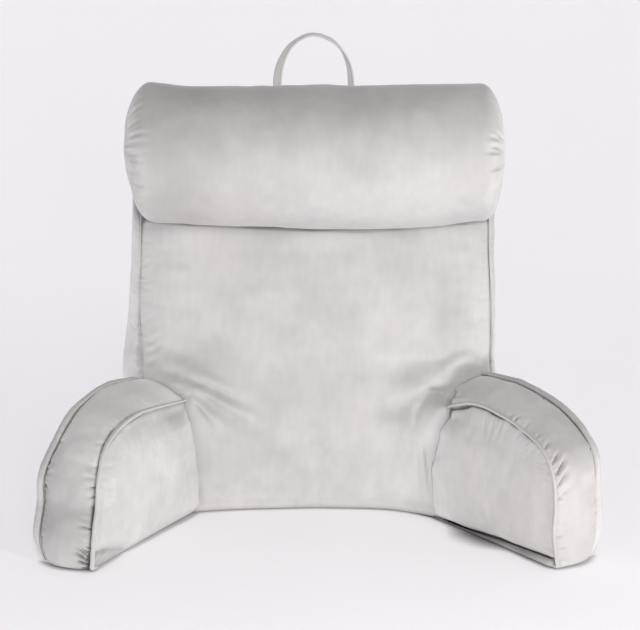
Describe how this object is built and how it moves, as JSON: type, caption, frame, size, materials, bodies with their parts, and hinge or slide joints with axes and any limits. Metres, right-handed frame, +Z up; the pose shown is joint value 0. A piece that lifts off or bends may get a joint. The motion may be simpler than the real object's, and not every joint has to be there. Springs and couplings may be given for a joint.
{
  "type": "reading pillow with arms",
  "caption": "Filled reading pillow that stands on its own base, with two splayed arms, a neck roll and a carry loop, in pale silver velvet.",
  "frame": {"origin": "middle of the foot of the whole pillow's box, on the surface that it stands on", "axes": "+Z up, -Y the way the sitter faces, +X to the right of someone who looks at the front panel"},
  "size_m": [0.6832, 0.4202, 0.6256],
  "materials": {
    "velvet": "short pile velvet, pale silver grey, soft sheen",
    "welt": "the same velvet rolled over the seams",
    "strap": "the same velvet folded and stitched into a strap"
  },
  "bodies": {
    "root": {"back_cushion": "velvet", "arm_left": "velvet", "arm_right": "velvet", "neck_roll": "velvet", "carry_loop": "strap", "welt_back": "welt", "welt_left_inner": "welt", "welt_left_outer": "welt", "welt_right_inner": "welt", "welt_right_outer": "welt", "welt_right_base": "welt"}
  },
  "joints": []
}
